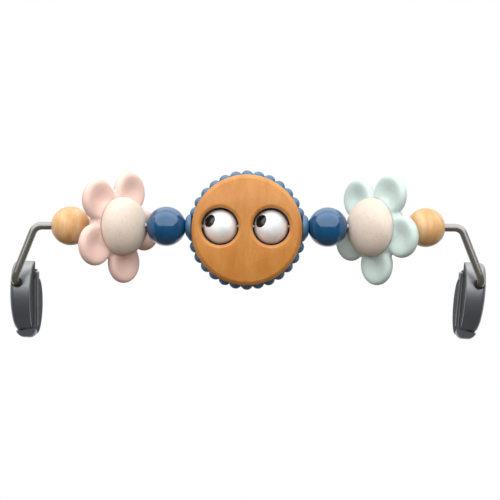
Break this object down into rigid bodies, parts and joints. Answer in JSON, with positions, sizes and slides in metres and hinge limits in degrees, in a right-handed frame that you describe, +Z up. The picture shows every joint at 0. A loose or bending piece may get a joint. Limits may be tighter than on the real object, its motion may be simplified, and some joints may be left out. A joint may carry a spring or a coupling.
{
  "type": "bouncer toy bar",
  "caption": "Bent rod between two sprung clips, strung with wooden beads, petal flowers and a scalloped wheel with turning eyes, for a baby bouncer.",
  "frame": {"origin": "midway between the rail channels of the two clips, where the bouncer's seat frame holds the bar", "axes": "+X along the bar to the right as seen by the child, +Y away from the child, +Z up"},
  "size_m": [0.4258, 0.0902, 0.1494],
  "materials": {
    "rod_steel": "warm grey satin",
    "plain_steel": "plain spring steel",
    "clip_plastic": "satin slate",
    "amber_wood": "semi-gloss amber",
    "orange_wood": "semi-gloss orange-amber, fine upright grain",
    "pale_wood": "matt, pale, fine grain",
    "ring_blue": "matt steel blue",
    "gloss_blue": "high gloss lacquer",
    "petal_pink": "soft matt pink",
    "petal_mint": "soft matt mint",
    "eye_white": "gloss white lacquer",
    "pupil_black": "gloss black"
  },
  "bodies": {
    "rod": {"bent_rod": "rod_steel", "left_rod_collar": "rod_steel", "right_rod_collar": "rod_steel", "left_end_stop": "plain_steel", "right_end_stop": "plain_steel"},
    "left_clip": {"left_clip_body": "clip_plastic", "left_jaw_pin": "plain_steel", "left_jaw_spring": "plain_steel"},
    "right_clip": {"right_clip_body": "clip_plastic", "right_jaw_pin": "plain_steel", "right_jaw_spring": "plain_steel"},
    "left_jaw": {"left_clip_jaw": "clip_plastic"},
    "right_jaw": {"right_clip_jaw": "clip_plastic"},
    "left_end": {"left_end_bead": "amber_wood"},
    "right_end": {"right_end_bead": "amber_wood"},
    "left_blue": {"left_blue_bead": "gloss_blue"},
    "right_blue": {"right_blue_bead": "gloss_blue"},
    "left_flower": {"left_flower_petals": "petal_pink", "left_flower_front_dome": "pale_wood", "left_flower_back_dome": "pale_wood"},
    "right_flower": {"right_flower_petals": "petal_mint", "right_flower_front_dome": "pale_wood", "right_flower_back_dome": "pale_wood"},
    "wheel": {"wheel_front_disc": "orange_wood", "wheel_back_disc": "orange_wood", "scalloped_ring": "ring_blue", "wheel_dowel_1": "pale_wood", "wheel_dowel_2": "pale_wood", "wheel_dowel_3": "pale_wood", "wheel_dowel_4": "pale_wood"},
    "left_eye": {"left_eyeball": "eye_white", "left_pupil": "pupil_black"},
    "right_eye": {"right_eyeball": "eye_white", "right_pupil": "pupil_black"}
  },
  "joints": [
    {"name": "left_clip_swivel", "type": "hinge", "parent": "rod", "child": "left_clip", "pos_m": [-0.20565, -0.02799, 0.01458], "axis": [0.1183, 0.9859, -0.1183], "range_deg": [-15, 15]},
    {"name": "right_clip_swivel", "type": "hinge", "parent": "rod", "child": "right_clip", "pos_m": [0.20565, -0.02799, 0.01458], "axis": [-0.1183, 0.9859, -0.1183], "range_deg": [-15, 15]},
    {"name": "left_jaw_hinge", "type": "hinge", "parent": "left_clip", "child": "left_jaw", "pos_m": [-0.20613, -0.00416, -0.03081], "axis": [0.0221, 0.988, 0.1528], "range_deg": [0, 10], "stiffness_Nm_per_rad": 0.05, "springref_deg": -20.05},
    {"name": "right_jaw_hinge", "type": "hinge", "parent": "right_clip", "child": "right_jaw", "pos_m": [0.20217, -0.00465, -0.03093], "axis": [-0.0026, -0.9898, -0.1426], "range_deg": [0, 10], "stiffness_Nm_per_rad": 0.05, "springref_deg": -20.05},
    {"name": "left_end_bead_spin", "type": "hinge", "parent": "rod", "child": "left_end", "pos_m": [-0.15621, -0.03835, 0.06446], "axis": [1, 0, 0], "continuous": true},
    {"name": "right_end_bead_spin", "type": "hinge", "parent": "rod", "child": "right_end", "pos_m": [0.15621, -0.03835, 0.06446], "axis": [1, 0, 0], "continuous": true},
    {"name": "left_blue_bead_spin", "type": "hinge", "parent": "rod", "child": "left_blue", "pos_m": [-0.07212, -0.03835, 0.06446], "axis": [1, 0, 0], "continuous": true},
    {"name": "right_blue_bead_spin", "type": "hinge", "parent": "rod", "child": "right_blue", "pos_m": [0.06992, -0.03835, 0.06446], "axis": [1, 0, 0], "continuous": true},
    {"name": "left_flower_spin", "type": "hinge", "parent": "rod", "child": "left_flower", "pos_m": [-0.11417, -0.03835, 0.06446], "axis": [1, 0, 0], "continuous": true},
    {"name": "right_flower_spin", "type": "hinge", "parent": "rod", "child": "right_flower", "pos_m": [0.11196, -0.03835, 0.06446], "axis": [1, 0, 0], "continuous": true},
    {"name": "wheel_spin", "type": "hinge", "parent": "rod", "child": "wheel", "pos_m": [-0.0011, -0.03835, 0.06446], "axis": [1, 0, 0], "continuous": true},
    {"name": "left_eye_roll", "type": "hinge", "parent": "rod", "child": "left_eye", "pos_m": [-0.0245, -0.03835, 0.06446], "axis": [1, 0, 0], "continuous": true},
    {"name": "right_eye_roll", "type": "hinge", "parent": "rod", "child": "right_eye", "pos_m": [0.0201, -0.03835, 0.06446], "axis": [1, 0, 0], "continuous": true}
  ]
}
